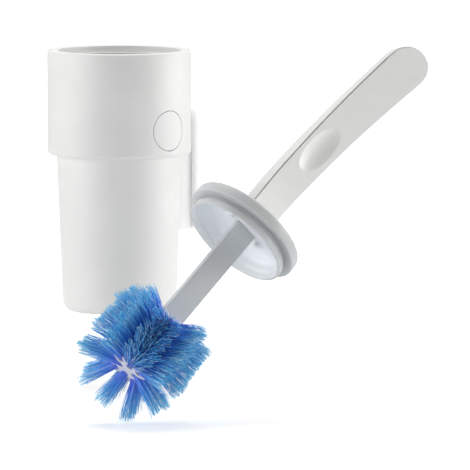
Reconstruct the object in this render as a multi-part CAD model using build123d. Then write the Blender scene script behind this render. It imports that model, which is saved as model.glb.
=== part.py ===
from build123d import *
import math
import os

# Wall-hung toilet brush holder with its brush leaning beside it.
# Millimetres. The wall is the plane Y = 0 and the room is at -Y.
# The origin is the middle of the wall plate's back face.

# Holder: heights are from the middle of the wall plate, radii from the cup's axis
axis_to_wall = 60.0
rim_z = 90.0
cup_base_z = -103.0
running_gap = 0.3
fit_gap = 0.1
margin = 1.0

collar_radius = 53.0
collar_wall = 2.2
collar_bottom_z = 13.0
collar_edge_bevel = 2.2
collar_rim_bevel = 0.5
lip_radius = 46.7
lip_thickness = 2.2
flange_thickness = 2.0
rabbet_radius = 51.6
shelf_radius = 48.8
shelf_depth = 1.5
neck_slope = 2.0
neck_gap = 0.4
rib_count = 6
rib_thickness = 1.6

cup_top_radius = 46.2
cup_base_radius = 41.7
cup_wall = 3.0
cup_base_wall = 2.8
cup_base_bevel = 7.0
cup_base_knee = 2.0
flange_radius = 51.3
mouth_radius = 45.4
lid_ledge_depth = 4.8

# Button, latch ring and spring
button_z = 33.0
button_hole_radius = 15.0
button_radius = 14.5
stem_half_width = 6.0
stem_half_height = 2.0
stem_end_x = 49.6
ring_inner_radius = 47.4
ring_outer_radius = 49.6
ring_offset = 0.6
ring_thickness = 2.0
spring_half_span = 13.0
spring_thickness = 0.3
spring_height = 4.0
spring_clearance = 0.05

# Bracket block, wall plate and their screws
plate_width = 47.0
plate_height = 90.0
plate_thickness = 4.0
plate_corner = 8.0
wall_hole_radius = 2.6
wall_hole_spacing = 72.0
countersink_radius = 5.0
block_width = 40.0
block_depth = 20.0
block_top_z = 40.0
block_corner = 1.0
block_to_cup = 1.0
rail_neck_width = 18.0
rail_head_width = 24.0
rail_neck_depth = 3.3
rail_head_depth = 2.7
rail_bottom_z = -28.0
channel_top_z = 8.0
collar_screw_x = 12.0
collar_screw_z = 23.0
collar_screw_radius = 1.5
collar_screw_head_radius = 2.9
collar_screw_head_depth = 1.6
screw_boss_radius = 3.0
screw_boss_reach = 46.9

# Brush: lengths along its own axis, from the lower rim of the lid towards the handle
brush_foot = (202.8, -142.4, -32.8)
brush_rise = 41.4
brush_heading = 83.2
brush_roll = 11.4

plug_radius = 39.4
plug_height = 5.0
groove_radius = 37.2
lid_flange_radius = 44.4
lid_flange_bottom = 8.2
lid_top = 19.0
dish_radius = 35.2
dish_mouth_radius = 37.4
dish_top = 14.5
dish_step_height = 4.2
dish_step_rise = 2.3
lid_edge_bevel = 1.6

shaft_width = 18.0
shaft_depth = 6.2
shaft_corner = 0.8
shaft_bottom = -78.0
tang_width = 12.0
tang_depth = 5.0
tang_top = 44.0
spigot_radius = 2.8
spigot_length = 14.0

retainer_radius = 19.0
retainer_thickness = 2.2
clip_centre = 14.5
clip_length = 6.0
clip_width = 3.0
clip_height = 2.5

handle_front = [(6.2, 19.0), (7.6, 60.0), (17.6, 112.0), (34.6, 159.0), (55.5, 200.0)]
handle_back = [(-8.2, 19.0), (-6.6, 60.0), (6.4, 112.0), (26.5, 159.0), (47.9, 200.0)]
handle_base_width = 24.0
handle_mid_width = 27.6
handle_mid = 112.0
handle_end_width = 30.8
handle_end = 186.4
handle_edge_bevel = 1.0
end_round_length = 15.0
dimple_length = 37.0
dimple_width = 17.8
dimple_depth = 3.0
dimple_at = 91.0
dimple_tilt = 11.3
front_at_dimple = 12.3

core_front = -129.5
core_back = -79.5
hub_sides = 8
hub_radius = 5.8
arm_count = 4
arm_thickness = 4.4
fork_start = 8.2
fork_reach = 14.5
fork_half_width = 5.2
fork_flare = 2.0
core_plate_count = 5
core_plate_thickness = 2.6
head_turn = 24.0
slot_depth = 5.5
hub_groove = 1.2
fork_strip_width = 5.0
hub_strip_width = 3.0
fork_strip_sink = 1.0
hub_strip_rise = 2.0
row_count = 8
strand_pairs = 19
strand_size = 1.15
strand_tip_spread = 3.0
narrow_share = 0.45
strand_bury = 1.0
tip_rounding = 3.5
tip_radius = 39.5
tip_front = -148.0
tip_back = -77.0

plate_half = plate_height / 2
collar_inner = collar_radius - collar_wall
seat_z = rim_z - flange_thickness
ledge_z = rim_z - lid_ledge_depth
holder_axis = Pos(0, -axis_to_wall, 0)
hub_flat = hub_radius * math.cos(math.pi / hub_sides)


def turned(points):
    """Solid of revolution about Z, from (radius, height) points."""
    outline = Polyline(*points, close=True)
    return revolve(make_face(Plane.XZ * outline), Axis.Z)


def along_y(radius, start, end, x, z):
    """Cylinder along Y from start to end."""
    middle = (start + end) / 2
    return Pos(x, middle, z) * Rot(90, 0, 0) * Cylinder(radius, abs(end - start))


def arc_radius(span, depth):
    """Radius of the arc with that span and that depth in its middle."""
    return (span**2 / 4 + depth**2) / (2 * depth)


def block(low, high):
    """Box between two corners."""
    size = [b - a for a, b in zip(low, high)]
    return Pos(*low) * Box(*size, align=(Align.MIN, Align.MIN, Align.MIN))


def brush_plane():
    """Local frame of the brush: Z along the shaft, Y out of the handle's thumb face."""
    rise = math.radians(brush_rise)
    heading = math.radians(brush_heading)
    roll = math.radians(brush_roll)
    shaft_way = Vector(
        math.cos(rise) * math.cos(heading),
        math.cos(rise) * math.sin(heading),
        math.sin(rise),
    )
    level = Vector(math.sin(heading), -math.cos(heading), 0)
    upward = level.cross(shaft_way)
    face_way = level * math.cos(roll) + upward * math.sin(roll)
    return Plane(origin=brush_foot, x_dir=face_way.cross(shaft_way), z_dir=shaft_way)


# Wall plate

def make_wall_plate():
    front = -plate_thickness
    outline = RectangleRounded(plate_width, plate_height, plate_corner)
    plate = extrude(Plane.XZ * outline, plate_thickness)
    neck_end = front - rail_neck_depth
    head_end = neck_end - rail_head_depth
    rail_top = channel_top_z - fit_gap
    plate += block(
        (-rail_neck_width / 2, neck_end, rail_bottom_z),
        (rail_neck_width / 2, front + fit_gap, rail_top),
    )
    plate += block(
        (-rail_head_width / 2, head_end, rail_bottom_z),
        (rail_head_width / 2, neck_end, rail_top),
    )
    sink_depth = countersink_radius - wall_hole_radius
    for z in (-wall_hole_spacing / 2, wall_hole_spacing / 2):
        plate -= along_y(wall_hole_radius, front - margin, margin, 0, z)
        sink = Cone(wall_hole_radius, countersink_radius, sink_depth)
        plate -= Pos(0, front + sink_depth / 2, z) * Rot(90, 0, 0) * sink
    return plate


# Bracket block

def saddle(radius, low_z, high_z):
    """Upright slab behind the holder, hollowed to a radius about the cup's axis."""
    back = -plate_thickness - fit_gap
    front = back - block_depth
    slab = Pos(0, (front + back) / 2) * Rectangle(block_width, back - front)
    slab -= Pos(0, -axis_to_wall) * Circle(radius)
    return Pos(0, 0, low_z) * extrude(slab, high_z - low_z)


def make_bracket_block():
    back = -plate_thickness - fit_gap
    lower = saddle(cup_top_radius + block_to_cup, -plate_half, collar_bottom_z)
    upper = saddle(collar_radius + fit_gap, collar_bottom_z, block_top_z)
    body = lower + upper
    corners = body.edges().filter_by(Axis.Z).group_by(Axis.Y)[-1]
    body = chamfer(corners, block_corner)
    neck_end = -plate_thickness - rail_neck_depth + running_gap
    head_end = neck_end - rail_head_depth - 2 * running_gap
    neck_half = rail_neck_width / 2 + running_gap
    head_half = rail_head_width / 2 + running_gap
    open_bottom = -plate_half - margin
    body -= block((-neck_half, neck_end, open_bottom), (neck_half, margin, channel_top_z))
    body -= block((-head_half, head_end, open_bottom), (head_half, neck_end, channel_top_z))
    recess_radius = collar_screw_head_radius + fit_gap
    recess_end = back - collar_screw_head_depth - fit_gap
    for x in (-collar_screw_x, collar_screw_x):
        body -= along_y(collar_screw_radius + fit_gap, -block_depth, margin, x, collar_screw_z)
        body -= along_y(recess_radius, recess_end, margin, x, collar_screw_z)
    return body


def make_collar_screws():
    head_top = -plate_thickness - 2 * fit_gap
    head_base = head_top - collar_screw_head_depth
    tip_y = screw_boss_reach - axis_to_wall + fit_gap
    screws = []
    for x in (-collar_screw_x, collar_screw_x):
        head = along_y(collar_screw_head_radius, head_base, head_top, x, collar_screw_z)
        screws.append(head + along_y(collar_screw_radius, tip_y, head_base, x, collar_screw_z))
    return Compound(children=screws)


# Collar

def make_collar():
    points = [
        (lip_radius, collar_bottom_z),
        (collar_radius - collar_edge_bevel, collar_bottom_z),
        (collar_radius, collar_bottom_z + collar_edge_bevel),
        (collar_radius, rim_z - collar_rim_bevel),
        (collar_radius - collar_rim_bevel, rim_z),
        (rabbet_radius, rim_z),
        (rabbet_radius, seat_z),
        (shelf_radius, seat_z),
        (shelf_radius, seat_z - shelf_depth),
        (collar_inner, seat_z - shelf_depth - neck_slope),
        (collar_inner, collar_bottom_z + lip_thickness),
        (lip_radius, collar_bottom_z + lip_thickness),
    ]
    ring = turned(points)
    rib_bottom = collar_bottom_z + lip_thickness / 2
    rib_top = button_z - ring_thickness / 2 - fit_gap
    rib_length = collar_inner + collar_wall / 2 - lip_radius
    for i in range(rib_count):
        rib = Box(rib_length, rib_thickness, rib_top - rib_bottom)
        place = Pos(lip_radius + rib_length / 2, 0, (rib_top + rib_bottom) / 2)
        ring += Rot(0, 0, 360 / rib_count * (i + 0.5)) * place * rib
    inner_wall = math.sqrt(collar_inner**2 - collar_screw_x**2)
    for x in (-collar_screw_x, collar_screw_x):
        boss_end = inner_wall + collar_wall / 2
        ring += along_y(screw_boss_radius, screw_boss_reach, boss_end, x, collar_screw_z)
        pilot_radius = collar_screw_radius + fit_gap / 2
        ring -= along_y(pilot_radius, screw_boss_reach - margin, collar_radius, x, collar_screw_z)
    hole = Pos(collar_radius, 0, button_z) * Rot(0, 90, 0) * Cylinder(button_hole_radius, button_radius)
    return holder_axis * (ring - hole)


# Release button, latch ring and spring

def make_release_button():
    skin = Cylinder(collar_radius, 2 * button_hole_radius)
    skin -= Cylinder(collar_inner, 2 * button_hole_radius)
    disc = Rot(0, 90, 0) * Cylinder(button_radius, button_radius)
    button = (Pos(0, 0, button_z) * skin) & (Pos(collar_radius, 0, button_z) * disc)
    button += block(
        (stem_end_x, -stem_half_width, button_z - stem_half_height),
        (collar_inner + collar_wall / 3, stem_half_width, button_z + stem_half_height),
    )
    return holder_axis * button


def make_latch_ring():
    band = Circle(ring_outer_radius) - Circle(ring_inner_radius)
    ring = Pos(ring_offset, 0, button_z - ring_thickness / 2) * extrude(band, ring_thickness)
    outer_x = ring_offset + ring_outer_radius
    ring -= Pos(stem_end_x + outer_x / 2, 0, button_z) * Box(outer_x, ring_outer_radius, 2 * ring_thickness)
    return holder_axis * ring


def make_ring_spring():
    inner_x = ring_offset - ring_outer_radius - spring_clearance
    wall_x = -math.sqrt(collar_inner**2 - spring_half_span**2)
    end_x = wall_x + spring_thickness + spring_clearance
    outer_x = inner_x - spring_thickness
    near_end = (end_x, -spring_half_span)
    far_end = (end_x, spring_half_span)
    near_back = (end_x - spring_thickness, -spring_half_span)
    far_back = (end_x - spring_thickness, spring_half_span)
    strip = make_face(
        [
            ThreePointArc(near_end, (inner_x, 0), far_end),
            Line(far_end, far_back),
            ThreePointArc(far_back, (outer_x, 0), near_back),
            Line(near_back, near_end),
        ]
    )
    return holder_axis * Pos(0, 0, button_z - spring_height / 2) * extrude(strip, spring_height)


# Cup

def make_cup():
    taper = (cup_top_radius - cup_base_radius) / (collar_bottom_z - cup_base_z)
    floor_z = cup_base_z + cup_base_wall
    floor_radius = cup_base_radius + taper * cup_base_wall - cup_wall
    inner_radius = cup_top_radius - cup_wall
    inner_bevel = cup_base_bevel - cup_base_wall
    neck_z = seat_z - shelf_depth - neck_slope
    neck_radius = shelf_radius - neck_gap
    points = [
        (0, cup_base_z),
        (cup_base_radius - cup_base_bevel, cup_base_z),
        (cup_base_radius - cup_base_knee, cup_base_z + cup_base_knee),
        (cup_base_radius + taper * cup_base_bevel, cup_base_z + cup_base_bevel),
        (cup_top_radius, collar_bottom_z),
        (cup_top_radius, neck_z),
        (neck_radius, neck_z + neck_slope),
        (neck_radius, seat_z),
        (flange_radius, seat_z),
        (flange_radius, rim_z),
        (mouth_radius, rim_z),
        (mouth_radius, ledge_z),
        (inner_radius, ledge_z),
        (inner_radius, collar_bottom_z),
        (floor_radius + taper * inner_bevel, floor_z + inner_bevel),
        (floor_radius - inner_bevel, floor_z),
        (0, floor_z),
    ]
    return holder_axis * turned(points)


# Lid and its retainer

def make_lid():
    points = [
        (0, dish_top),
        (dish_radius, dish_top),
        (dish_radius, dish_step_height + dish_step_rise),
        (dish_mouth_radius, dish_step_height),
        (dish_mouth_radius, 0),
        (plug_radius, 0),
        (plug_radius, plug_height),
        (groove_radius, plug_height),
        (groove_radius, lid_flange_bottom),
        (lid_flange_radius, lid_flange_bottom),
        (lid_flange_radius, lid_top - lid_edge_bevel),
        (lid_flange_radius - lid_edge_bevel, lid_top),
        (0, lid_top),
    ]
    lid = turned(points)
    slot = Box(tang_width + 2 * fit_gap, tang_depth + 2 * fit_gap, 2 * lid_top)
    return lid - Pos(0, 0, lid_top) * slot


def make_retainer_ring():
    low = dish_top - retainer_thickness
    plate = Circle(retainer_radius)
    plate -= Rectangle(shaft_width + 2 * fit_gap, shaft_depth + 2 * fit_gap)
    ring = Pos(0, 0, low) * extrude(plate, retainer_thickness)
    clip = extrude(SlotOverall(clip_length, clip_width), clip_height)
    for side in (-1, 1):
        ring += Pos(side * clip_centre, 0, low) * Rot(180, 0, 90) * clip
    return ring


# Shaft

def make_shaft():
    section = RectangleRounded(shaft_width, shaft_depth, shaft_corner)
    shaft = Pos(0, 0, shaft_bottom) * extrude(section, dish_top - shaft_bottom)
    tang = Rectangle(tang_width, tang_depth)
    shaft += Pos(0, 0, dish_top) * extrude(tang, tang_top - dish_top)
    shaft += Pos(0, 0, shaft_bottom - spigot_length) * extrude(Circle(spigot_radius), spigot_length)
    return shaft


# Handle: what the side outline and the outline of the thumb face have in common

def make_handle():
    front = Spline(*handle_front)
    back = Spline(*reversed(handle_back))
    tip = Line(front @ 1, back @ 0)
    foot = Line(back @ 1, front @ 0)
    side = make_face([front, tip, back, foot])
    side_form = extrude(Plane.YZ * side, handle_end_width, both=True)
    base_half = handle_base_width / 2
    end_half = handle_end_width / 2
    round_start = handle_end - end_round_length
    right = Spline((base_half, lid_top), (handle_mid_width / 2, handle_mid), (end_half, round_start))
    end = Spline(
        right @ 1,
        (0, handle_end),
        (-end_half, round_start),
        tangents=[(0, 1), (0, -1)],
    )
    left = mirror(right, Plane.YZ)
    sole = Line(left @ 0, right @ 0)
    face = make_face([right, end, left, sole])
    face_form = extrude(Plane.XZ * face, 2 * handle_end, both=True)
    handle = side_form & face_form
    sharp = handle.edges().filter_by_position(Axis.Z, lid_top + margin, 2 * handle_end)
    handle = chamfer(sharp, handle_edge_bevel)
    across_radius = arc_radius(dimple_width, dimple_depth)
    along_radius = arc_radius(dimple_length, dimple_depth)
    scoop = Rot(0, 90, 0) * Torus(along_radius - across_radius, across_radius)
    scoop = Rot(-dimple_tilt, 0, 0) * Pos(0, along_radius - dimple_depth, 0) * scoop
    handle -= Pos(0, front_at_dimple, dimple_at) * scoop
    pocket_top = tang_top + margin
    pocket = Box(tang_width + 2 * fit_gap, tang_depth + 2 * fit_gap, 2 * (pocket_top - lid_top))
    return handle - Pos(0, 0, lid_top) * pocket


# Head core: a grooved hub that carries a row of cross plates with forked arms

def make_head_core():
    fork_slot_width = fork_strip_width + 2 * fit_gap
    hub_slot_width = hub_strip_width + 2 * fit_gap
    hub = RegularPolygon(hub_radius, hub_sides, rotation=180 / hub_sides)
    cross = hub
    arm_step = 360 / arm_count
    for i in range(arm_count):
        arm = Pos(fork_start / 2) * Rectangle(fork_start, arm_thickness)
        fork = make_face(
            Polyline(
                (fork_start - fork_flare, arm_thickness / 2),
                (fork_start, fork_half_width),
                (fork_reach, fork_half_width),
                (fork_reach, -fork_half_width),
                (fork_start, -fork_half_width),
                (fork_start - fork_flare, -arm_thickness / 2),
                close=True,
            )
        )
        slot = Pos(fork_reach - slot_depth / 2) * Rectangle(slot_depth, fork_slot_width)
        cross += Rot(0, 0, arm_step * i) * (arm + fork - slot)
    for i in range(arm_count):
        groove = Pos(hub_flat, 0) * Rectangle(2 * hub_groove, hub_slot_width)
        groove = Rot(0, 0, arm_step * (i + 0.5)) * groove
        hub -= groove
        cross -= groove
    core = Pos(0, 0, core_front) * extrude(hub, shaft_bottom - core_front)
    pitch = (core_back - core_plate_thickness - core_front) / (core_plate_count - 1)
    for i in range(core_plate_count):
        core += Pos(0, 0, core_front + i * pitch) * extrude(cross, core_plate_thickness)
    bore_depth = spigot_length + margin
    bore = extrude(Circle(spigot_radius + fit_gap), bore_depth)
    core -= Pos(0, 0, shaft_bottom - bore_depth) * bore
    return Rot(0, 0, head_turn) * core


# Bristle rows: a backing strip with two lines of three-sided strands that fan out from it

def make_bristle_row(strip_low, strip_high, strip_width):
    """One row along X: strip between two radii, strands out to the tip radius."""
    low_z = core_front + fit_gap
    high_z = core_back - fit_gap
    half = strip_width / 2
    strip = block((strip_low, -half, low_z), (strip_high, half, high_z))
    end_gap = strand_size
    root_spread = strip_width / 4
    strands = []
    for i in range(strand_pairs):
        share = i / (strand_pairs - 1)
        root_z = low_z + end_gap + share * (high_z - low_z - 2 * end_gap)
        tip_z = tip_front + share * (tip_back - tip_front)
        rounding = tip_rounding * (2 * share - 1) ** 4
        for side in (-1, 1):
            spread = strand_tip_spread * (1 if i % 2 else narrow_share)
            root = Vector(strip_high - strand_bury, side * root_spread, root_z)
            tip = Vector(tip_radius - rounding, side * spread, tip_z)
            plane = Plane(origin=root, z_dir=tip - root)
            triangle = RegularPolygon(strand_size / 2, 3)
            strands.append(extrude(plane * triangle, (tip - root).length))
    return strip.fuse(*strands)


pieces = {
    "wall_plate": make_wall_plate(),
    "bracket_block": make_bracket_block(),
    "collar_screws": make_collar_screws(),
    "collar": make_collar(),
    "release_button": make_release_button(),
    "latch_ring": make_latch_ring(),
    "ring_spring": make_ring_spring(),
    "cup": make_cup(),
}
brush_pieces = {
    "lid": make_lid(),
    "retainer_ring": make_retainer_ring(),
    "shaft": make_shaft(),
    "handle": make_handle(),
    "head_core": make_head_core(),
}
slot_floor = fork_reach - slot_depth + fit_gap
groove_floor = hub_flat - hub_groove + fit_gap
fork_row = make_bristle_row(slot_floor, fork_reach - fork_strip_sink, fork_strip_width)
hub_row = make_bristle_row(groove_floor, hub_radius + hub_strip_rise, hub_strip_width)
for i in range(row_count):
    row = hub_row if i % 2 else fork_row
    row_angle = head_turn + 360 / row_count * i
    brush_pieces[f"bristle_row_{i + 1}"] = Rot(0, 0, row_angle) * row
brush_place = brush_plane().location
for name, piece in brush_pieces.items():
    pieces[name] = brush_place * piece

os.makedirs("parts", exist_ok=True)
for name, piece in pieces.items():
    export_step(piece, f"parts/{name}.step")
    print(name, round(piece.volume, 1))
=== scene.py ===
import math
import random
import bmesh
import bpy
from mathutils import Matrix, Vector


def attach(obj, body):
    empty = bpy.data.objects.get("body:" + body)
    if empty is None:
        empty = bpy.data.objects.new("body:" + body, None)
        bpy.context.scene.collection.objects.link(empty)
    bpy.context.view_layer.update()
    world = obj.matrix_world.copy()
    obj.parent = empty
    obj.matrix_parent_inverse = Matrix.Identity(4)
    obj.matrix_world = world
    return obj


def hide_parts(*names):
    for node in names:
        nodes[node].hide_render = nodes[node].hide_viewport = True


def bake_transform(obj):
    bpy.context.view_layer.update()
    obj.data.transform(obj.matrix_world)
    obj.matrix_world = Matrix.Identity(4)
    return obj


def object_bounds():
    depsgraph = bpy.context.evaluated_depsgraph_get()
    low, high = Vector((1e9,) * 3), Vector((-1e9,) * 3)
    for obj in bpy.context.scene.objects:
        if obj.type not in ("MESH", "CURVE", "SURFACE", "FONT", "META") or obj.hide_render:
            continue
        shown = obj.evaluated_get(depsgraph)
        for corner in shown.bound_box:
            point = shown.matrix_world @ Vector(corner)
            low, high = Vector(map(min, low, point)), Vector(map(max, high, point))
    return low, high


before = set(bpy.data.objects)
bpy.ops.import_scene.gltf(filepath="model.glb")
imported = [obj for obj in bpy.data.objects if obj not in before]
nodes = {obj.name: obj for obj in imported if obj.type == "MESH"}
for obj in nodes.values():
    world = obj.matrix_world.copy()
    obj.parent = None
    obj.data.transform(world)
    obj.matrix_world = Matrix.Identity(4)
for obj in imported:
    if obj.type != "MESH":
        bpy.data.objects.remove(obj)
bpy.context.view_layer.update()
scene = bpy.context.scene
mm = 0.001
print("frame loaded,", len(nodes), "nodes")


def linear(hexColour):
    parts = [int(hexColour[i:i + 2], 16) / 255 for i in (1, 3, 5)]
    return [p / 12.92 if p <= 0.04045 else ((p + 0.055) / 1.055) ** 2.4 for p in parts] + [1]


def perMm(size):
    # texture scale for a feature of that size, on coordinates in metres
    return 1 / (size * mm)


def addNode(tree, kind, settings=None, links=None):
    node = tree.nodes.new(kind)
    for key, value in (settings or {}).items():
        if isinstance(key, int) or key in node.inputs:
            node.inputs[key].default_value = value
        else:
            setattr(node, key, value)
    for key, socket in (links or {}).items():
        tree.links.new(socket, node.inputs[key])
    return node


def startMaterial(name):
    material = bpy.data.materials.new(name)
    material.use_nodes = True
    tree = material.node_tree
    tree.nodes.clear()
    shader = addNode(tree, "ShaderNodeBsdfPrincipled")
    addNode(tree, "ShaderNodeOutputMaterial", links={"Surface": shader.outputs[0]})
    return material, tree, shader


# moulded plastic: soft cloudy tone from the melt flow, and a spark-eroded grain that breaks up the gloss
# the real grain is finer, and is drawn coarse enough to show
def mouldedPlastic(name, look):
    material, tree, shader = startMaterial(name)
    place = addNode(tree, "ShaderNodeTexCoord").outputs["Object"]
    cloud = addNode(
        tree, "ShaderNodeTexNoise",
        {"Scale": perMm(look["cloudMm"]), "Detail": 3.0}, {"Vector": place})
    speck = addNode(
        tree, "ShaderNodeTexNoise",
        {"Scale": perMm(look["grainMm"]), "Detail": 2.0}, {"Vector": place})
    tone = addNode(
        tree, "ShaderNodeMapRange",
        {"From Min": look["cloudRange"][0], "From Max": look["cloudRange"][1]},
        {"Value": cloud.outputs[0]})
    colour = addNode(
        tree, "ShaderNodeMix",
        {"data_type": "RGBA", 6: linear(look["colour"]), 7: linear(look["shade"])},
        {0: tone.outputs[0]})
    if "paintedLight" in look:  # a paler second tone of painted light, where the piece marks it
        paintedLight = addNode(tree, "ShaderNodeAttribute", {"attribute_name": "paintedLight"})
        colour = addNode(
            tree, "ShaderNodeMix",
            {"data_type": "RGBA", 7: linear(look["paintedLight"])},
            {0: paintedLight.outputs["Fac"], 6: colour.outputs[2]})
    rough = addNode(
        tree, "ShaderNodeMapRange",
        {"From Min": look["grainRange"][0], "From Max": look["grainRange"][1],
         "To Min": look["rough"][0], "To Max": look["rough"][1]},
        {"Value": speck.outputs[0]})
    grain = addNode(
        tree, "ShaderNodeBump",
        {"Strength": look["grain"], "Distance": look["grainDepthMm"] * mm},
        {"Height": speck.outputs[0]})
    shader.inputs["IOR"].default_value = look["ior"]
    # white plastic lets some light through, which keeps its shaded sides pale
    shader.inputs["Subsurface Weight"].default_value = look["glow"]
    shader.inputs["Subsurface Radius"].default_value = (1, 1, 1)
    shader.inputs["Subsurface Scale"].default_value = look["glowMm"] * mm
    tree.links.new(colour.outputs[2], shader.inputs["Base Color"])
    tree.links.new(rough.outputs[0], shader.inputs["Roughness"])
    tree.links.new(grain.outputs[0], shader.inputs["Normal"])
    return material


# ranges: cloud and grain say how much of the noise counts, rough runs from the first value to the second
holderLook = {
    "colour": "#F0F0EE", "shade": "#EAEAE8", "cloudMm": 40, "cloudRange": (0.3, 0.7),
    "grainMm": 0.7, "grainRange": (0.25, 0.75), "grain": 0.12, "grainDepthMm": 0.05,
    "rough": (0.37, 0.48), "ior": 1.53, "glow": 0.0, "glowMm": 8.0,
}
# bracket and plate: the white is raised as painted light that lifts their shaded corner, the plate's more
bracketLook = dict(
    holderLook, colour="#F7F7F6", shade="#F3F3F2", rough=(0.45, 0.56), grain=0.2, glow=1.0)
plateLook = dict(bracketLook, colour="#FBFBFA", shade="#F8F8F7", glowMm=25.0)
# the lid is one white plastic: its grey outside is painted shade, its cool pale mouth and dish are painted
# light
lidLook = dict(
    holderLook, colour="#CED0D0", shade="#C6C8C9", paintedLight="#F2F5F8",
    rough=(0.31, 0.42), grain=0.08, glow=0.4)
# the retainer is the lid's plastic, given the dish's cool pale painted light
retainerLook = dict(holderLook, colour="#F4F7FA", shade="#EEF1F4", rough=(0.31, 0.42), grain=0.08)
# the handle is one white plastic: its sides are greyed as painted shade, its face made paler as painted
# light
handleLook = dict(
    holderLook, colour="#E4E4E2", shade="#DFDFDD", paintedLight="#FCFCFA", rough=(0.33, 0.44), grain=0.1)
# the core's blue cast is a painted reflection of the blue bristles round it
coreLook = dict(
    holderLook, colour="#E4E5F0", shade="#D6D8E8", rough=(0.35, 0.46), grain=0.1, cloudMm=12)
latchLook = dict(holderLook, colour="#D9D9D6", shade="#CFCFCC", rough=(0.4, 0.51))

holderAbs = mouldedPlastic("moulded_abs_white", holderLook)  # clean satin white
bracketAbs = mouldedPlastic("moulded_abs_matt_white", bracketLook)  # matt and lets light through, its white raised as painted light to lift its shade
plateAbs = mouldedPlastic("moulded_abs_matt_white_painted_light", plateLook)  # the same, its white raised further as painted light for its shaded strip, and lets more light through
lidAbs = mouldedPlastic("moulded_abs_white_painted_shade", lidLook)  # painted shade greys the outside, painted light makes the dish a cool pale white
retainerAbs = mouldedPlastic("moulded_abs_white_painted_light", retainerLook)  # painted light: the same cool pale white as the dish round it
handleAbs = mouldedPlastic("moulded_abs_grip_painted_light", handleLook)  # painted light on the face, painted shade greying the sides of the same white
corePolypropylene = mouldedPlastic("moulded_polypropylene_core", coreLook)  # white, with a painted blue reflection from the bristles
latchAcetal = mouldedPlastic("moulded_acetal_latch", latchLook)  # waxy off-white

# extruded grey polypropylene bar: satin, with faint die lines along it, drawn wider than real ones to show
shaftLook = {
    "colour": "#D2D5D6", "shade": "#C6C9CB", "lineMm": 1.4, "lengthMm": 60,
    "ripple": 0.08, "rippleDepthMm": 0.05, "rough": (0.28, 0.42), "ior": 1.49,
}


def extrudedPlastic(name, look, alongAxis):
    material, tree, shader = startMaterial(name)
    place = addNode(tree, "ShaderNodeTexCoord").outputs["Object"]
    turn = alongAxis.rotation_difference(Vector((0, 0, 1))).to_euler()
    upright = addNode(tree, "ShaderNodeMapping", {"Rotation": turn}, {"Vector": place})
    stretched = addNode(
        tree, "ShaderNodeMapping",
        {"Scale": (perMm(look["lineMm"]), perMm(look["lineMm"]), perMm(look["lengthMm"]))},
        {"Vector": upright.outputs[0]})
    lines = addNode(
        tree, "ShaderNodeTexNoise",
        {"Scale": 1.0, "Detail": 2.0}, {"Vector": stretched.outputs[0]})
    colour = addNode(
        tree, "ShaderNodeMix",
        {"data_type": "RGBA", 6: linear(look["colour"]), 7: linear(look["shade"])},
        {0: lines.outputs[0]})
    rough = addNode(
        tree, "ShaderNodeMapRange",
        {"To Min": look["rough"][0], "To Max": look["rough"][1]},
        {"Value": lines.outputs[0]})
    ripple = addNode(
        tree, "ShaderNodeBump",
        {"Strength": look["ripple"], "Distance": look["rippleDepthMm"] * mm},
        {"Height": lines.outputs[0]})
    shader.inputs["IOR"].default_value = look["ior"]
    tree.links.new(colour.outputs[2], shader.inputs["Base Color"])
    tree.links.new(rough.outputs[0], shader.inputs["Roughness"])
    tree.links.new(ripple.outputs[0], shader.inputs["Normal"])
    return material


# zinc plated steel, for screws and spring: grey metal with a fine mottle, drawn coarser than real to show
steelLook = {"colour": "#B9BABC", "shade": "#9FA0A3", "mottleMm": 0.5, "rough": (0.22, 0.4)}


def platedSteel(name, look):
    material, tree, shader = startMaterial(name)
    place = addNode(tree, "ShaderNodeTexCoord").outputs["Object"]
    mottle = addNode(
        tree, "ShaderNodeTexNoise",
        {"Scale": perMm(look["mottleMm"]), "Detail": 4.0}, {"Vector": place})
    colour = addNode(
        tree, "ShaderNodeMix",
        {"data_type": "RGBA", 6: linear(look["colour"]), 7: linear(look["shade"])},
        {0: mottle.outputs[0]})
    rough = addNode(
        tree, "ShaderNodeMapRange",
        {"To Min": look["rough"][0], "To Max": look["rough"][1]},
        {"Value": mottle.outputs[0]})
    shader.inputs["Metallic"].default_value = 1.0
    tree.links.new(colour.outputs[2], shader.inputs["Base Color"])
    tree.links.new(rough.outputs[0], shader.inputs["Roughness"])
    return material


steel = platedSteel("zinc_plated_steel", steelLook)

# nylon filament: deep blue at the root, clear azure at the cut tip, some strands with a painted white glint
# there
bristleLook = {
    "root": "#7088FF", "middle": "#54AAFF", "middleAt": 0.45, "tip": "#84DCFF",
    "glint": "#FFFFFF", "glintFrom": 0.74, "glintShare": 1.0, "rough": (0.18, 0.35), "ior": 1.53,
}


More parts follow.
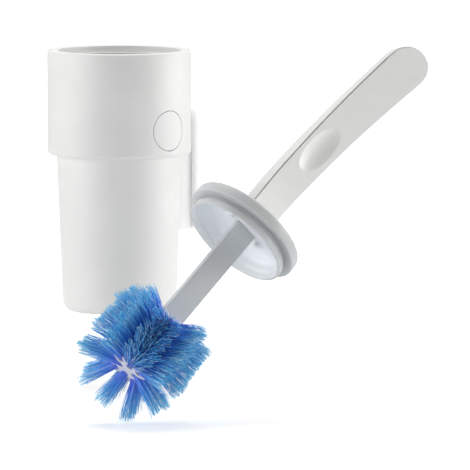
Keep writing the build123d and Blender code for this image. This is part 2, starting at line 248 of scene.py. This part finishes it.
def nylonFilament(name, look):
    material, tree, shader = startMaterial(name)
    along = addNode(tree, "ShaderNodeAttribute", {"attribute_name": "along"})
    tint = addNode(tree, "ShaderNodeAttribute", {"attribute_name": "tint"})
    ramp = addNode(tree, "ShaderNodeValToRGB", links={"Fac": along.outputs["Fac"]})
    stops = ramp.color_ramp.elements
    stops[0].color = linear(look["root"])
    stops[1].color = linear(look["tip"])
    stops.new(look["middleAt"]).color = linear(look["middle"])
    # painted highlight: near the tip, some strands are turned white as a glint
    paintedGlint = addNode(
        tree, "ShaderNodeMapRange",
        {"From Min": look["glintFrom"], "To Max": look["glintShare"]},
        {"Value": tint.outputs["Fac"]})
    tipOnly = addNode(
        tree, "ShaderNodeMath", {"operation": "MULTIPLY"},
        {0: paintedGlint.outputs[0], 1: along.outputs["Fac"]})
    colour = addNode(
        tree, "ShaderNodeMix",
        {"data_type": "RGBA", 7: linear(look["glint"])},
        {0: tipOnly.outputs[0], 6: ramp.outputs[0]})
    rough = addNode(
        tree, "ShaderNodeMapRange",
        {"To Min": look["rough"][0], "To Max": look["rough"][1]},
        {"Value": tint.outputs["Fac"]})
    shader.inputs["IOR"].default_value = look["ior"]
    tree.links.new(colour.outputs[2], shader.inputs["Base Color"])
    tree.links.new(rough.outputs[0], shader.inputs["Roughness"])
    return material


nylon = nylonFilament("nylon_filament_blue", bristleLook)
print("materials made")


# mesh, material, body and stand-in of a piece; a piece without a body is left unattached
def finishPiece(bm, name, body, material, replaced, sharpAngle=35):
    mesh = bpy.data.meshes.new(name)
    bm.to_mesh(mesh)
    bm.free()
    mesh.polygons.foreach_set("use_smooth", [True] * len(mesh.polygons))
    mesh.set_sharp_from_angle(angle=math.radians(sharpAngle))
    mesh.materials.append(material)
    piece = bpy.data.objects.new(name, mesh)
    scene.collection.objects.link(piece)
    if body:
        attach(piece, body)
    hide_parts(*replaced)
    return piece


def softenEdges(piece, width, angle=40):
    bevel = piece.modifiers.new("softEdges", "BEVEL")
    bevel.width = width
    bevel.segments = 3
    bevel.limit_method = "ANGLE"
    bevel.angle_limit = math.radians(angle)
    bevel.harden_normals = True


# merged copy of a node, with its flat faces joined so that the edges can be rounded
def copyNode(node, mergeMm=0.002, flatAngle=0.5):
    bm = bmesh.new()
    bm.from_mesh(nodes[node].data)
    bmesh.ops.remove_doubles(bm, verts=bm.verts, dist=mergeMm * mm)
    bmesh.ops.dissolve_limit(
        bm, angle_limit=math.radians(flatAngle), verts=bm.verts, edges=bm.edges)
    return bm


# turned form about Z from (radius, height) points in mm; rounds gives the corner to round and by how much
def turnedForm(points, rounds, steps, mergeMm=0.005):
    bm = bmesh.new()
    line = [bm.verts.new((radius * mm, 0, height * mm)) for radius, height in points]
    for first, second in zip(line, line[1:]):
        bm.edges.new((first, second))
    for index, size in rounds.items():
        bmesh.ops.bevel(
            bm, geom=[line[index]], offset=size * mm, segments=6, profile=0.5,
            affect="VERTICES", material=-1)
    bmesh.ops.spin(
        bm, geom=bm.verts[:] + bm.edges[:], cent=(0, 0, 0), axis=(0, 0, 1),
        angle=2 * math.pi, steps=steps, use_merge=True)
    bmesh.ops.remove_doubles(bm, verts=bm.verts, dist=mergeMm * mm)
    bmesh.ops.recalc_face_normals(bm, faces=bm.faces)
    return bm


# Cup: tapered beaker with a flange in the collar's rim and a ledge for the lid
cup = {
    "axisToWall": 60, "rim": 90, "base": -103, "collarBottom": 13,
    "topRadius": 46.2, "baseRadius": 41.7, "wall": 3.0, "floor": 2.8, "floorFlare": 0.1,
    "flangeRadius": 51.3, "flange": 2.0, "neckRadius": 48.4, "neckFoot": 84.5, "neckRise": 2.0,
    "mouthRadius": 45.4, "ledge": 85.2,
    "baseRound": 7.5, "innerRound": 4.5, "rimRound": 0.6, "mouthRound": 0.8, "steps": 144,
}
innerTop = cup["topRadius"] - cup["wall"]
innerFloor = cup["baseRadius"] - cup["wall"] + cup["floorFlare"]
cupPoints = [
    (0, cup["base"]),
    (cup["baseRadius"], cup["base"]),
    (cup["topRadius"], cup["collarBottom"]),
    (cup["topRadius"], cup["neckFoot"]),
    (cup["neckRadius"], cup["neckFoot"] + cup["neckRise"]),
    (cup["neckRadius"], cup["rim"] - cup["flange"]),
    (cup["flangeRadius"], cup["rim"] - cup["flange"]),
    (cup["flangeRadius"], cup["rim"]),
    (cup["mouthRadius"], cup["rim"]),
    (cup["mouthRadius"], cup["ledge"]),
    (innerTop, cup["ledge"]),
    (innerTop, cup["collarBottom"]),
    (innerFloor, cup["base"] + cup["floor"]),
    (0, cup["base"] + cup["floor"]),
]
cupRounds = {
    1: cup["baseRound"], 7: cup["rimRound"], 8: cup["mouthRound"],
    10: cup["rimRound"], 12: cup["innerRound"],
}
bm = turnedForm(cupPoints, cupRounds, cup["steps"])
bmesh.ops.translate(bm, verts=bm.verts, vec=(0, -cup["axisToWall"] * mm, 0))
finishPiece(bm, "cup_shell", "cup", holderAbs, ["cup"])
print("cup made")

# Collar, bracket block, wall plate and button: the solids' own forms with rounded edges
holderPieces = {
    "collar": {"body": "holder", "slot": "holder_plastic", "material": holderAbs, "edge": 0.45},
    "bracket_block": {"body": "holder", "slot": "bracket_plastic", "material": bracketAbs, "edge": 0.15},
    "wall_plate": {"body": "wall", "slot": "bracket_plastic", "material": plateAbs, "edge": 0.6},
    "release_button": {"body": "button", "slot": "holder_plastic", "material": holderAbs, "edge": 0.25},
}
for node, made in holderPieces.items():
    piece = finishPiece(
        copyNode(node), node + "_form", made["body"], made["material"], [node])
    softenEdges(piece, made["edge"] * mm)
print("holder pieces made")

# Inner pieces keep the solids and get their finish
for node, material in {"collar_screws": steel, "latch_ring": latchAcetal}.items():
    nodes[node].data.materials.clear()
    nodes[node].data.materials.append(material)

# Leaf spring: two bowed halves, whose ends sit on the collar and whose middle meets the latch ring; they
# are attached to no body
spring = {
    "at": 33.0, "height": 4.0, "halfSpan": 13.0, "thick": 0.2, "middle": -49.05, "end": -48.76,
    "held": 5.0, "steps": 26,
}
springAxis = Vector((0, -cup["axisToWall"], 0))
for name, side in {"spring_half_near": -1, "spring_half_far": 1}.items():
    bm = bmesh.new()
    bmesh.ops.create_grid(bm, x_segments=1, y_segments=spring["steps"], size=1)
    for vert in bm.verts:
        share = (vert.co.y + 1) / 2
        bend = (spring["end"] - spring["middle"]) * share ** 2
        vert.co = (
            spring["middle"] + bend, side * share * spring["halfSpan"],
            spring["at"] + vert.co.x * spring["height"] / 2)
    grown = bmesh.ops.extrude_face_region(bm, geom=bm.faces[:])
    backVerts = [item for item in grown["geom"] if isinstance(item, bmesh.types.BMVert)]
    bmesh.ops.translate(bm, verts=backVerts, vec=(-spring["thick"], 0, 0))
    bmesh.ops.translate(bm, verts=bm.verts, vec=springAxis)
    bmesh.ops.scale(bm, vec=(mm, mm, mm), verts=bm.verts)
    bmesh.ops.recalc_face_normals(bm, faces=bm.faces)
    piece = finishPiece(bm, name, None, steel, ["ring_spring"])
    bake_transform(piece)
print("spring made")

# Brush: its own frame, Z from the head to the handle, Y out of the thumb face
brush = {"foot": (202.8, -142.4, -32.8), "rise": 41.4, "heading": 83.2, "roll": 11.4}
rise, heading, roll = (math.radians(brush[key]) for key in ("rise", "heading", "roll"))
shaftWay = Vector((
    math.cos(rise) * math.cos(heading), math.cos(rise) * math.sin(heading), math.sin(rise)))
level = Vector((math.sin(heading), -math.cos(heading), 0))
faceWay = level * math.cos(roll) + level.cross(shaftWay) * math.sin(roll)
sideWay = faceWay.cross(shaftWay)
brushPlace = Matrix.Translation(Vector(brush["foot"]) * mm) @ Matrix(
    (sideWay, faceWay, shaftWay)).transposed().to_4x4()


def placeOnBrush(bm):
    bmesh.ops.transform(bm, matrix=brushPlace, verts=bm.verts)
    return bm


# Lid: flange, groove and plug ring round a hollow dish, top a little domed
lid = {
    "plugRadius": 39.4, "plugHeight": 5.0, "grooveRadius": 37.2, "flangeRadius": 44.4,
    "flangeBottom": 8.2, "top": 19.0, "edgeTop": 16.8, "seatRadius": 16.0,
    "dishRadius": 35.2, "dishTop": 14.5, "mouthRadius": 37.4, "stepHeight": 4.2, "stepRise": 2.3,
    "dishRound": 7.5, "stepRound": 1.1, "mouthRound": 0.5, "plugRound": 0.6, "plugTopRound": 0.5,
    "flangeRound": 0.9, "edgeRound": 1.8, "steps": 160,
    "toneRise": 0.55, "toneInset": 0.25, "slack": 0.1,
}
lidPoints = [
    (0, lid["dishTop"]),
    (lid["dishRadius"], lid["dishTop"]),
    (lid["dishRadius"], lid["stepHeight"] + lid["stepRise"]),
    (lid["mouthRadius"], lid["stepHeight"]),
    (lid["mouthRadius"], 0),
    (lid["plugRadius"], 0),
    (lid["plugRadius"], lid["plugHeight"]),
    (lid["grooveRadius"], lid["plugHeight"]),
    (lid["grooveRadius"], lid["flangeBottom"]),
    (lid["flangeRadius"], lid["flangeBottom"]),
    (lid["flangeRadius"], lid["edgeTop"]),
    (lid["seatRadius"], lid["top"]),
    (0, lid["top"]),
]
lidRounds = {
    1: lid["dishRound"], 2: lid["stepRound"], 3: lid["stepRound"], 4: lid["mouthRound"],
    5: lid["plugRound"], 6: lid["plugTopRound"], 9: lid["flangeRound"], 10: lid["edgeRound"],
}
bm = turnedForm(lidPoints, lidRounds, lid["steps"])
paintedLightLayer = bm.verts.layers.float.new("paintedLight")  # the painted light, a paler tone, lies in the mouth and the dish
for vert in bm.verts:
    radius = vert.co.xy.length / mm
    height = vert.co.z / mm
    inMouth = radius < lid["mouthRadius"] + lid["slack"] and height < lid["stepHeight"] + lid["toneRise"]
    inDish = radius < lid["grooveRadius"] - lid["toneInset"] and height < lid["dishTop"] + lid["slack"]
    vert[paintedLightLayer] = float(inMouth or inDish)
finishPiece(placeOnBrush(bm), "lid_form", "brush", lidAbs, ["lid"])

# Shaft, retainer and head core: the solids' own forms with rounded edges
shaftGrey = extrudedPlastic("extruded_polypropylene_grey", shaftLook, shaftWay)
brushPieces = {
    "retainer_ring": {"slot": "lid_plastic", "material": retainerAbs, "edge": 0.4},
    "shaft": {"slot": "shaft_plastic", "material": shaftGrey, "edge": 0.4},
    "head_core": {"slot": "core_plastic", "material": corePolypropylene, "edge": 0.25},
}
for node, made in brushPieces.items():
    piece = finishPiece(
        copyNode(node), node + "_form", "brush", made["material"], [node])
    softenEdges(piece, made["edge"] * mm)
print("lid, shaft and core made")

# Handle: bowed grip that widens to a round end, thumb hollow on its face, a narrow gap along one edge of it
# front, back and half width are (value, height) points; endCrowding sets the rows closer near the end
handle = {
    "foot": 19.0, "end": 187.4, "endRound": 16.0, "endSquare": 2.5, "endCrowding": 1.25,
    "front": [(6.2, 19), (7.6, 60), (17.6, 112), (34.6, 159), (55.5, 200)],
    "back": [(-8.2, 19), (-6.6, 60), (6.4, 112), (26.5, 159), (47.9, 200)],
    "half": [(12.0, 19), (14.2, 112), (16.0, 171.4)],
    "hollowAt": 92.0, "hollowLength": 34.5, "hollowWidth": 17.8, "hollowDepth": 3.6,
    "hollowFace": 12.4, "hollowTilt": 11.3, "backEdge": 2.0,
    "lip": 0.5, "gap": 0.9, "gapSlant": 0.05, "gapDepth": 1.3, "gapFade": 8.0,
    "across": 48, "along": 230,
}


# smooth curve through (value, height) points: cubic pieces with slopes taken from the neighbours
def valueAt(points, height):
    slopes = []
    for i in range(len(points)):
        low = points[max(i - 1, 0)]
        high = points[min(i + 1, len(points) - 1)]
        slopes.append((high[0] - low[0]) / (high[1] - low[1]))
    i = 0
    while i < len(points) - 2 and height > points[i + 1][1]:
        i += 1
    (v0, h0), (v1, h1) = points[i], points[i + 1]
    span = h1 - h0
    t = (height - h0) / span
    return (
        v0 * (1 + 2 * t) * (1 - t) ** 2 + span * slopes[i] * t * (1 - t) ** 2
        + v1 * t * t * (3 - 2 * t) + span * slopes[i + 1] * t * t * (t - 1))


def halfWidth(height):
    roundStart = handle["end"] - handle["endRound"]
    if height <= roundStart:
        return valueAt(handle["half"], height)
    share = min((height - roundStart) / handle["endRound"], 1)
    return handle["half"][-1][0] * math.sqrt(max(1 - share ** handle["endSquare"], 0))


def arcRadius(span, depth):
    return (span ** 2 / 4 + depth ** 2) / (2 * depth)


# the thumb hollow is the cut of a ring: one arc along the handle, a tighter one across it
def faceDepth(x, height):
    face = valueAt(handle["front"], height)
    along = height - handle["hollowAt"]
    clear = 2 / 3  # of its width and length: past this the face is plain
    if abs(x) > handle["hollowWidth"] * clear or abs(along) > handle["hollowLength"] * clear:
        return face
    acrossRadius = arcRadius(handle["hollowWidth"], handle["hollowDepth"])
    alongRadius = arcRadius(handle["hollowLength"], handle["hollowDepth"])
    reach = alongRadius - acrossRadius + math.sqrt(acrossRadius ** 2 - x ** 2)
    cut = math.sqrt(reach ** 2 - along ** 2) - (alongRadius - handle["hollowDepth"])
    slope = math.tan(math.radians(handle["hollowTilt"]))
    return min(face, handle["hollowFace"] + slope * along - cut)


# columns of the face: even, then near one edge the two sides of the gap and the lip
def columnAt(index, half):
    squeeze = min(half / handle["half"][0][0], 1)
    gapStart = handle["lip"] + handle["gap"]
    lines = [gapStart, gapStart - handle["gapSlant"], handle["lip"] + handle["gapSlant"], handle["lip"], 0]
    even = handle["across"] - len(lines) + 1
    if index > even:
        return half - lines[index - even] * squeeze
    return -half + (2 * half - lines[0] * squeeze) * index / even


# the gap runs out where the round end starts
def gapDepth(height):
    beforeEnd = (handle["end"] - handle["endRound"] - height) / handle["gapFade"]
    return handle["gapDepth"] * min(max(beforeEnd + 0.5, 0), 1)


bm = bmesh.new()
bmesh.ops.create_grid(bm, x_segments=handle["across"], y_segments=handle["along"], size=1)
columnLayer = bm.verts.layers.int.new("column")
gapColumns = (handle["across"] - 3, handle["across"] - 2)
handleLength = handle["end"] - handle["foot"]
for vert in bm.verts:
    share = (vert.co.y + 1) / 2
    height = handle["foot"] + handleLength * (1 - (1 - share) ** handle["endCrowding"])
    column = round((vert.co.x + 1) / 2 * handle["across"])
    vert[columnLayer] = column
    vert.co = (columnAt(column, halfWidth(height)), 1, height)
bmesh.ops.remove_doubles(bm, verts=bm.verts, dist=0.001)
grown = bmesh.ops.extrude_face_region(bm, geom=bm.faces[:])
backVerts = [item for item in grown["geom"] if isinstance(item, bmesh.types.BMVert)]
for vert in bm.verts:
    vert.co.y = faceDepth(vert.co.x, vert.co.z)
    if vert[columnLayer] in gapColumns:
        vert.co.y -= gapDepth(vert.co.z)
for vert in backVerts:
    vert.co.y = valueAt(handle["back"], vert.co.z)
bmesh.ops.recalc_face_normals(bm, faces=bm.faces)
touch = 0.01  # mm, as good as on it
rimTurn = 0.6  # radians, the least turn of an edge on the back's rim
rim = []
for edge in bm.edges:
    onBack = all(abs(v.co.y - valueAt(handle["back"], v.co.z)) < touch for v in edge.verts)
    offFoot = max(v.co.z for v in edge.verts) > handle["foot"] + touch
    if onBack and offFoot and edge.calc_face_angle(0) > rimTurn:
        rim.append(edge)
bmesh.ops.bevel(
    bm, geom=rim, offset=handle["backEdge"], offset_type="OFFSET", segments=5, profile=0.5,
    affect="EDGES", material=-1, clamp_overlap=True)
paintedLightLayer = bm.verts.layers.float.new("paintedLight")  # the painted light, a paler tone, lies on the face, up to the gap
for vert in bm.verts:
    onFace = abs(vert.co.y - faceDepth(vert.co.x, vert.co.z)) < 5 * touch
    vert[paintedLightLayer] = float(onFace and vert[columnLayer] < gapColumns[0])
bmesh.ops.scale(bm, vec=(mm, mm, mm), verts=bm.verts)
finishPiece(
    placeOnBrush(bm), "handle_form", "brush", handleAbs, ["handle"], sharpAngle=50)
print("handle made")

# Bristle rows: strands that fan out of each backing strip, by turns out of a fork and out of the hub
# lists hold a value for each row: where its tips begin and end, its gap, fan, lean and reach
bristles = {
    "rows": 8, "turn": 24.0, "frontRoot": -128.6, "backRoot": -80.6,
    "frontTips": [-135, -131, -133, -142, -149, -149, -147, -141],
    "backTips": [-80, -88, -77, -77, -79, -79, -79, -76],
    "splits": [3, 0, 4, 6, 5, 0, 8, 6], "splitShare": 0.24,
    "forkRoot": 10.5, "forkSpread": 2.2, "hubRoot": 5.2, "hubSpread": 2.2,
    "tipSpreads": [4.4, 12.0, 4.4, 5.0, 4.4, 4.8, 3.8, 5.0],
    "tipShifts": [0, 0, 0, 0, 7, 0, -6, 0],
    "tipRadii": [39.8, 35.0, 39.8, 39.8, 38.8, 39.8, 39.8, 39.8],
    "tipRounding": 3.0, "tipSquare": 4,
    "stations": 60, "lines": 12, "thick": 0.44, "tipShare": 0.7,
    "tuft": 30, "tuftJitter": 1.0, "lengthJitter": 1.8, "tipJitter": 1.1, "bow": 2.4, "seed": 7,
}


# unit strands, all in one place: a three-sided cone with two rings, doubled until there are enough
def strandBundle(count):
    rootRadius = bristles["thick"] / 2
    bm = bmesh.new()
    bmesh.ops.create_cone(
        bm, cap_ends=True, segments=3, radius1=rootRadius, radius2=rootRadius * bristles["tipShare"],
        depth=1)
    bmesh.ops.translate(bm, verts=bm.verts, vec=(0, 0, 0.5))
    upright = [e for e in bm.edges if abs(e.verts[0].co.z - e.verts[1].co.z) > 0.5]
    bmesh.ops.subdivide_edges(bm, edges=upright, cuts=2)
    vertsEach = len(bm.verts)
    while len(bm.verts) < count * vertsEach:
        bmesh.ops.duplicate(bm, geom=bm.verts[:] + bm.edges[:] + bm.faces[:])
    bmesh.ops.delete(bm, geom=bm.verts[count * vertsEach:], context="VERTS")
    return bm, vertsEach


def bristleRow(index, draw):
    seat = "hub" if index % 2 else "fork"
    frontTip = bristles["frontTips"][index]
    backTip = bristles["backTips"][index]
    split = bristles["splits"][index]
    strands = bristles["stations"] * bristles["lines"]
    tuftShift = Vector()
    bm, vertsEach = strandBundle(strands)
    alongLayer = bm.verts.layers.float.new("along")
    tintLayer = bm.verts.layers.float.new("tint")
    bm.verts.ensure_lookup_table()
    for strand in range(strands):
        station, line = divmod(strand, bristles["lines"])
        if strand % bristles["tuft"] == 0:
            tuftShift = Vector([draw.gauss(0, bristles["tuftJitter"]) for axis in range(3)])
        share = min(max((station + draw.uniform(-0.5, 0.5)) / (bristles["stations"] - 1), 0), 1)
        across = 2 * (line + draw.uniform(-0.5, 0.5)) / (bristles["lines"] - 1) - 1
        root = Vector((
            bristles[seat + "Root"], across * bristles[seat + "Spread"],
            bristles["frontRoot"] + share * (bristles["backRoot"] - bristles["frontRoot"])))
        ends = bristles["tipRounding"] * (2 * share - 1) ** bristles["tipSquare"]
        tip = Vector((
            bristles["tipRadii"][index] - ends - abs(draw.gauss(0, bristles["lengthJitter"])),
            bristles["tipShifts"][index] + across * bristles["tipSpreads"][index]
            + draw.gauss(0, bristles["tipJitter"]),
            frontTip + share * (backTip - frontTip - split) + draw.gauss(0, bristles["tipJitter"])))
        if share > bristles["splitShare"]:
            tip.z += split
        way = tip + tuftShift - root
        turn = way.to_track_quat("Z", "X").to_matrix().to_4x4()
        spin = Matrix.Rotation(draw.uniform(0, 2 * math.pi), 4, "Z")
        place = Matrix.Translation(root) @ turn @ spin @ Matrix.Diagonal((1, 1, way.length, 1))
        bow = Vector((0, draw.gauss(0, bristles["bow"]), draw.gauss(0, bristles["bow"])))
        tint = draw.random()
        for vert in bm.verts[strand * vertsEach:(strand + 1) * vertsEach]:
            along = vert.co.z
            vert[alongLayer] = along
            vert[tintLayer] = tint
            vert.co = place @ vert.co + bow * along * (1 - along)
    bmesh.ops.scale(bm, vec=(mm, mm, mm), verts=bm.verts)
    return bm


draw = random.Random(bristles["seed"])
for i in range(bristles["rows"]):
    bm = bristleRow(i, draw)
    angle = math.radians(bristles["turn"]) + 2 * math.pi * i / bristles["rows"]
    bmesh.ops.rotate(bm, cent=(0, 0, 0), matrix=Matrix.Rotation(angle, 3, "Z"), verts=bm.verts)
    finishPiece(
        placeOnBrush(bm), f"bristles_{i + 1}", "brush", nylon,
        [f"bristle_row_{i + 1}"], sharpAngle=80)
print("bristles made")

# Floor: pale, white to the camera where no shadow falls
floor = {
    "size": 14.0, "gap": 0.5, "colour": "#F4F4F4", "rough": 0.9,
    "near": 0.25, "far": 1.3, "nearLift": 0.36, "farLift": 0.9,
}
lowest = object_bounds()[0].z
bm = bmesh.new()
bmesh.ops.create_grid(bm, x_segments=2, y_segments=2, size=floor["size"])
bmesh.ops.translate(bm, verts=bm.verts, vec=(0, 0, lowest - floor["gap"] * mm))
mesh = bpy.data.meshes.new("floor")
bm.to_mesh(mesh)
bm.free()
floorPiece = bpy.data.objects.new("floor", mesh)
scene.collection.objects.link(floorPiece)
paper, tree, shader = startMaterial("pale_studio_floor")
shader.inputs["Base Color"].default_value = linear(floor["colour"])
shader.inputs["Roughness"].default_value = floor["rough"]
shader.inputs["Specular IOR Level"].default_value = 0.0
rays = addNode(tree, "ShaderNodeLightPath")
place = addNode(tree, "ShaderNodeTexCoord").outputs["Object"]
away = addNode(tree, "ShaderNodeVectorMath", {"operation": "LENGTH"}, {0: place})
farther = addNode(
    tree, "ShaderNodeMapRange",
    {"From Min": floor["near"], "From Max": floor["far"],
     "To Min": floor["nearLift"], "To Max": floor["farLift"]},
    {"Value": away.outputs["Value"]})
lift = addNode(
    tree, "ShaderNodeMath", {"operation": "MULTIPLY"},
    {0: rays.outputs["Is Camera Ray"], 1: farther.outputs[0]})
shader.inputs["Emission Color"].default_value = (1, 1, 1, 1)
tree.links.new(lift.outputs[0], shader.inputs["Emission Strength"])
mesh.materials.append(paper)

# World: white to camera, gloss and clear rays, a plain soft level for the rest
world = {"level": 0.27}
scene.world = bpy.data.worlds.new("studio")
scene.world.use_nodes = True
tree = scene.world.node_tree
tree.nodes.clear()
rays = addNode(tree, "ShaderNodeLightPath")
seen = addNode(
    tree, "ShaderNodeMath", {"operation": "MAXIMUM"},
    {0: rays.outputs["Is Camera Ray"], 1: rays.outputs["Is Glossy Ray"]})
seenAll = addNode(
    tree, "ShaderNodeMath", {"operation": "MAXIMUM"},
    {0: seen.outputs[0], 1: rays.outputs["Is Transmission Ray"]})
strength = addNode(
    tree, "ShaderNodeMapRange", {"To Min": world["level"], "To Max": 1.0},
    {"Value": seenAll.outputs[0]})
sky = addNode(
    tree, "ShaderNodeBackground", {"Color": (1, 1, 1, 1)}, {"Strength": strength.outputs[0]})
addNode(tree, "ShaderNodeOutputWorld", links={"Surface": sky.outputs[0]})

# Camera: far away with a long lens, as the photo's flat perspective asks
view = {
    "target": (60.32, 0.32, -47.2), "azimuth": 45.0, "pitch": 5.4386, "distance": 6000,
    "lens": 621.9, "sensor": 36, "clipEnd": 100,
}
target = Vector(view["target"]) * mm
azimuth = math.radians(view["azimuth"])
pitch = math.radians(view["pitch"])
outward = Vector((
    math.cos(pitch) * math.sin(azimuth), -math.cos(pitch) * math.cos(azimuth), math.sin(pitch)))
camera = bpy.data.objects.new("camera", bpy.data.cameras.new("camera"))
camera.data.lens = view["lens"]
camera.data.sensor_width = view["sensor"]
camera.data.clip_end = view["clipEnd"]
camera.location = target + outward * view["distance"] * mm
camera.rotation_euler = (-outward).to_track_quat("-Z", "Y").to_euler()
scene.collection.objects.link(camera)
scene.camera = camera

# Lamps: a large soft box on either side and one above, a little behind
rightWay = Vector((math.cos(azimuth), math.sin(azimuth), 0))
lamps = {
    "leftBox": {"at": -rightWay * 1.3 + outward * 0.4 + Vector((0, 0, 0.1)), "size": 1.3, "watts": 13.0},
    "rightBox": {"at": rightWay * 1.4 + outward * 0.02, "size": 1.3, "watts": 22.0},
    "topBox": {"at": outward * -0.3 + Vector((0, 0, 1.4)), "size": 1.2, "watts": 13.0},
}
for name, lamp in lamps.items():
    data = bpy.data.lights.new(name, "AREA")
    data.size = lamp["size"]
    data.energy = lamp["watts"]
    lampPiece = bpy.data.objects.new(name, data)
    lampPiece.location = target + lamp["at"]
    lampPiece.rotation_euler = (-lamp["at"]).to_track_quat("-Z", "Y").to_euler()
    scene.collection.objects.link(lampPiece)
scene.view_settings.view_transform = "Standard"
print("stage, camera and lamps set")
